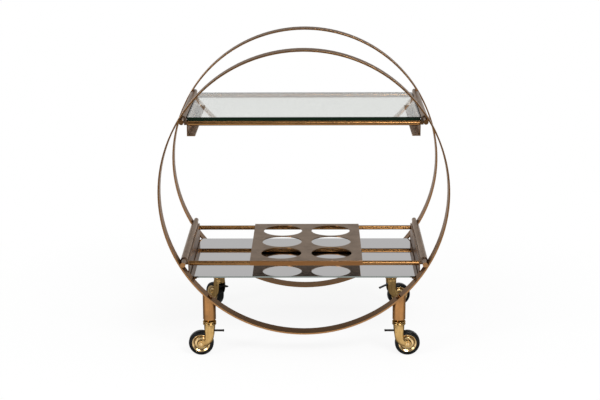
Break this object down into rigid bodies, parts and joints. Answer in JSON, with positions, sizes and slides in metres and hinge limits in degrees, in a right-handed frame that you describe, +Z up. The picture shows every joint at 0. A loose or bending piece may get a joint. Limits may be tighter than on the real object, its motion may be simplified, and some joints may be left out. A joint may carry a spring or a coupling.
{
  "type": "dessert trolley",
  "caption": "Round-framed dessert trolley with hoops joined by side bars, a glass top, a mirror shelf, a sliding pierced bottle rack and legs on braked swivel casters.",
  "frame": {"origin": "on the floor, at the centre of the resting footprint", "axes": "+X right across the front, +Y from front to back, +Z up"},
  "size_m": [0.7399, 0.477, 0.8],
  "materials": {
    "bronze": "satin",
    "warm_brass": "satin",
    "bright_brass": "polished",
    "glass": "polished",
    "mirror": "polished",
    "tyre_rubber": "matte",
    "dark_steel": "satin"
  },
  "bodies": {
    "frame": {"front_hoop": "bronze", "rear_hoop": "bronze", "rod_upper_left": "warm_brass", "rod_upper_right": "warm_brass", "rod_lower_left": "warm_brass", "rod_lower_right": "warm_brass", "sleeve_upper_left": "bronze", "sleeve_upper_right": "bronze", "sleeve_lower_left": "bronze", "sleeve_lower_right": "bronze", "angle_upper_left": "bronze", "angle_upper_right": "bronze", "angle_lower_left": "bronze", "angle_lower_right": "bronze", "rail_upper_front": "warm_brass", "rail_upper_rear": "warm_brass", "rail_lower_front": "warm_brass", "rail_lower_rear": "warm_brass", "glass_top": "glass", "mirror_shelf": "mirror", "leg_front_left": "warm_brass", "leg_front_right": "warm_brass", "leg_rear_left": "warm_brass", "leg_rear_right": "warm_brass", "hoop_screws": "warm_brass", "rail_screws": "warm_brass", "leg_screws": "bright_brass", "stem_front_left": "bright_brass", "stem_front_right": "bright_brass", "stem_rear_left": "bright_brass", "stem_rear_right": "bright_brass"},
    "rack": {"bottle_rack": "bronze"},
    "caster_front_left": {"horn_front_left": "bright_brass", "axle_front_left": "bright_brass", "brake_pin_front_left": "bright_brass"},
    "wheel_front_left": {"hub_front_left": "bright_brass", "tyre_front_left": "tyre_rubber"},
    "lever_front_left": {"brake_front_left": "dark_steel"},
    "caster_front_right": {"horn_front_right": "bright_brass", "axle_front_right": "bright_brass", "brake_pin_front_right": "bright_brass"},
    "wheel_front_right": {"hub_front_right": "bright_brass", "tyre_front_right": "tyre_rubber"},
    "lever_front_right": {"brake_front_right": "dark_steel"},
    "caster_rear_left": {"horn_rear_left": "bright_brass", "axle_rear_left": "bright_brass", "brake_pin_rear_left": "bright_brass"},
    "wheel_rear_left": {"hub_rear_left": "bright_brass", "tyre_rear_left": "tyre_rubber"},
    "lever_rear_left": {"brake_rear_left": "dark_steel"},
    "caster_rear_right": {"horn_rear_right": "bright_brass", "axle_rear_right": "bright_brass", "brake_pin_rear_right": "bright_brass"},
    "wheel_rear_right": {"hub_rear_right": "bright_brass", "tyre_rear_right": "tyre_rubber"},
    "lever_rear_right": {"brake_rear_right": "dark_steel"}
  },
  "joints": [
    {"name": "rack_slide", "type": "slide", "parent": "frame", "child": "rack", "axis": [1, 0, 0], "range_m": [-0.156, 0.145]},
    {"name": "swivel_front_left", "type": "hinge", "parent": "frame", "child": "caster_front_left", "pos_m": [-0.2455, -0.21646, 0.08], "axis": [0, 0, 1], "continuous": true},
    {"name": "wheel_spin_front_left", "type": "hinge", "parent": "caster_front_left", "child": "wheel_front_left", "pos_m": [-0.268, -0.21646, 0.0325], "axis": [0, -1, 0], "continuous": true},
    {"name": "brake_press_front_left", "type": "hinge", "parent": "caster_front_left", "child": "lever_front_left", "pos_m": [-0.238, -0.21646, 0.065], "axis": [0, 1, 0], "range_deg": [0, 22]},
    {"name": "swivel_front_right", "type": "hinge", "parent": "frame", "child": "caster_front_right", "pos_m": [0.2455, -0.21646, 0.08], "axis": [0, 0, 1], "continuous": true},
    {"name": "wheel_spin_front_right", "type": "hinge", "parent": "caster_front_right", "child": "wheel_front_right", "pos_m": [0.268, -0.21646, 0.0325], "axis": [0, 1, 0], "continuous": true},
    {"name": "brake_press_front_right", "type": "hinge", "parent": "caster_front_right", "child": "lever_front_right", "pos_m": [0.238, -0.21646, 0.065], "axis": [0, -1, 0], "range_deg": [0, 22]},
    {"name": "swivel_rear_left", "type": "hinge", "parent": "frame", "child": "caster_rear_left", "pos_m": [-0.2455, 0.19154, 0.08], "axis": [0, 0, 1], "continuous": true},
    {"name": "wheel_spin_rear_left", "type": "hinge", "parent": "caster_rear_left", "child": "wheel_rear_left", "pos_m": [-0.25996, 0.20877, 0.0325], "axis": [-0.766, -0.6428, 0], "continuous": true},
    {"name": "brake_press_rear_left", "type": "hinge", "parent": "caster_rear_left", "child": "lever_rear_left", "pos_m": [-0.24068, 0.18579, 0.065], "axis": [0.766, 0.6428, 0], "range_deg": [0, 22]},
    {"name": "swivel_rear_right", "type": "hinge", "parent": "frame", "child": "caster_rear_right", "pos_m": [0.2455, 0.19154, 0.08], "axis": [0, 0, 1], "continuous": true},
    {"name": "wheel_spin_rear_right", "type": "hinge", "parent": "caster_rear_right", "child": "wheel_rear_right", "pos_m": [0.26751, 0.19622, 0.0325], "axis": [-0.2079, 0.9781, 0], "continuous": true},
    {"name": "brake_press_rear_right", "type": "hinge", "parent": "caster_rear_right", "child": "lever_rear_right", "pos_m": [0.23816, 0.18998, 0.065], "axis": [0.2079, -0.9781, 0], "range_deg": [-22, 0]}
  ]
}
